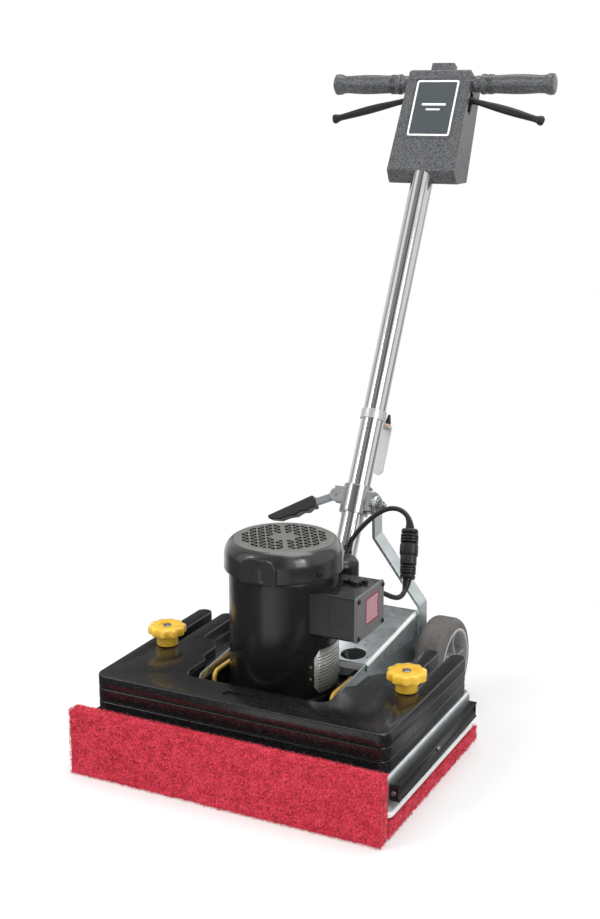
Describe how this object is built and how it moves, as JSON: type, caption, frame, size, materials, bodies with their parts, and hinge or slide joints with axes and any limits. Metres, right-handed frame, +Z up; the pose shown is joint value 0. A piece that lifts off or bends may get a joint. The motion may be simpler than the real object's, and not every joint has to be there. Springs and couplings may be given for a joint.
{
  "type": "walk-behind floor machine",
  "caption": "Orbital floor machine with a rectangular red pad, upright motor, stacked weights, transport wheels and a leaning steering handle.",
  "frame": {"origin": "on the floor under the middle of the pad", "axes": "+X to the machine's right, +Y back towards the wheels and handle, +Z up"},
  "size_m": [0.518, 0.8637, 1.0447],
  "materials": {
    "zinc": "galvanised sheet",
    "black_paint": "satin black",
    "weight_paint": "glossy textured black",
    "yellow_paint": "gloss yellow",
    "yellow_plastic": "gloss",
    "red_pad": "coarse nonwoven",
    "gripper_black": "short hook bristle",
    "aluminium_plate": "mill",
    "steel": "machined",
    "chrome_tube": "polished",
    "core_steel": "laminated",
    "grey_plastic": "mottled",
    "black_plastic": "satin",
    "cord_rubber": "matte",
    "isolator_rubber": "matte",
    "tyre_rubber": "matte",
    "hub_plastic": "moulded",
    "plate_label": "brushed"
  },
  "bodies": {
    "head": {"deck_pan": "zinc", "side_rails": "black_paint", "front_pad_bracket": "black_paint", "front_pad": "red_pad", "weight_plate_lower": "weight_paint", "weight_plate_middle": "weight_paint", "weight_plate_upper": "weight_paint", "weight_studs": "steel", "isolators": "isolator_rubber", "chassis_tray": "zinc", "chassis_cover": "zinc", "lift_bails": "yellow_paint", "motor_housing": "black_paint", "stator": "core_steel", "motor_bearings": "steel", "fan_cover": "black_paint", "nameplate": "plate_label", "capacitor_cover": "black_paint", "terminal_box": "black_paint", "terminal_box_lid": "black_paint", "knockout_plug": "black_plastic", "lead_gland": "black_plastic", "motor_lead": "cord_rubber", "lead_plug": "cord_rubber", "lead_socket": "cord_rubber", "handle_lead": "cord_rubber", "axle": "steel", "axle_collars": "steel", "pivot_brackets": "zinc", "pivot_pin": "steel"},
    "rotor": {"motor_shaft": "steel", "rotor_core": "core_steel", "cooling_fan": "aluminium_plate", "eccentric_hub": "steel"},
    "pad_driver": {"driver_bearing": "steel", "bearing_housing": "aluminium_plate", "pad_driver_plate": "aluminium_plate", "gripper_layer": "gripper_black", "floor_pad": "red_pad"},
    "wheel_left": {"wheel_tyre_left": "tyre_rubber", "wheel_hub_left": "hub_plastic"},
    "wheel_right": {"wheel_tyre_right": "tyre_rubber", "wheel_hub_right": "hub_plastic"},
    "handle": {"handle_foot": "steel", "handle_tube": "chrome_tube", "cord_hook": "black_plastic", "control_box_front": "grey_plastic", "control_box_rear": "grey_plastic", "handle_grips": "grey_plastic", "switch_blocks": "black_plastic"},
    "collar": {"tube_collar": "black_paint", "collar_fasteners": "steel"},
    "clamp_lever": {"clamp_arm": "black_paint", "clamp_grip": "black_plastic"},
    "strut": {"handle_strut": "steel"},
    "lever_left": {"switch_lever_left": "black_plastic"},
    "lever_right": {"switch_lever_right": "black_plastic"},
    "button": {"lockout_button": "black_plastic"},
    "knob_left": {"knob_left": "yellow_plastic"},
    "knob_right": {"knob_right": "yellow_plastic"}
  },
  "joints": [
    {"name": "motor_spin", "type": "hinge", "parent": "head", "child": "rotor", "pos_m": [0, 0.004, 0.2], "axis": [0, 0, 1], "continuous": true},
    {"name": "pad_orbit", "type": "hinge", "parent": "rotor", "child": "pad_driver", "pos_m": [0.0025, 0.004, 0.047], "axis": [0, 0, 1], "continuous": true},
    {"name": "wheel_left_spin", "type": "hinge", "parent": "head", "child": "wheel_left", "pos_m": [0, 0.278, 0.076], "axis": [-1, 0, 0], "continuous": true},
    {"name": "wheel_right_spin", "type": "hinge", "parent": "head", "child": "wheel_right", "pos_m": [0, 0.278, 0.076], "axis": [-1, 0, 0], "continuous": true},
    {"name": "handle_tilt", "type": "hinge", "parent": "head", "child": "handle", "pos_m": [0, 0.147, 0.111], "axis": [-1, 0, 0], "range_deg": [-15, 15], "deforming": ["handle_lead"]},
    {"name": "collar_slide", "type": "slide", "parent": "handle", "child": "collar", "axis": [0, 0.4645, 0.8856], "range_m": [-0.041, 0.041]},
    {"name": "clamp_turn", "type": "hinge", "parent": "collar", "child": "clamp_lever", "pos_m": [-0.035, 0.26871, 0.34302], "axis": [0, 0.8856, -0.4645], "range_deg": [0, 60]},
    {"name": "strut_swing", "type": "hinge", "parent": "head", "child": "strut", "pos_m": [0, 0.278, 0.076], "axis": [-1, 0, 0], "range_deg": [-17.5, 17.5]},
    {"name": "lever_left_squeeze", "type": "hinge", "parent": "handle", "child": "lever_left", "pos_m": [-0.05, 0.60317, 0.98062], "axis": [0, 0.8856, -0.4645], "range_deg": [0, 15], "stiffness_Nm_per_rad": 1.2, "springref_deg": -20.05},
    {"name": "lever_right_squeeze", "type": "hinge", "parent": "handle", "child": "lever_right", "pos_m": [0.05, 0.60317, 0.98062], "axis": [0, -0.8856, 0.4645], "range_deg": [0, 15], "stiffness_Nm_per_rad": 1.2, "springref_deg": -20.05},
    {"name": "button_press", "type": "slide", "parent": "handle", "child": "button", "axis": [0, -0.4645, -0.8856], "range_m": [0, 0.0035], "stiffness_N_per_m": 300, "springref_m": -0.004},
    {"name": "knob_left_turn", "type": "hinge", "parent": "head", "child": "knob_left", "pos_m": [-0.205, -0.003, 0.16], "axis": [0, 0, 1], "continuous": true},
    {"name": "knob_right_turn", "type": "hinge", "parent": "head", "child": "knob_right", "pos_m": [0.205, -0.003, 0.16], "axis": [0, 0, 1], "continuous": true}
  ],
  "couplings": [
    {"joint": "pad_orbit", "follows": "motor_spin", "ratio": -1},
    {"joint": "collar_slide", "follows": "handle_tilt", "m_per_rad": 0.149},
    {"joint": "strut_swing", "follows": "handle_tilt", "ratio": 1.13}
  ]
}
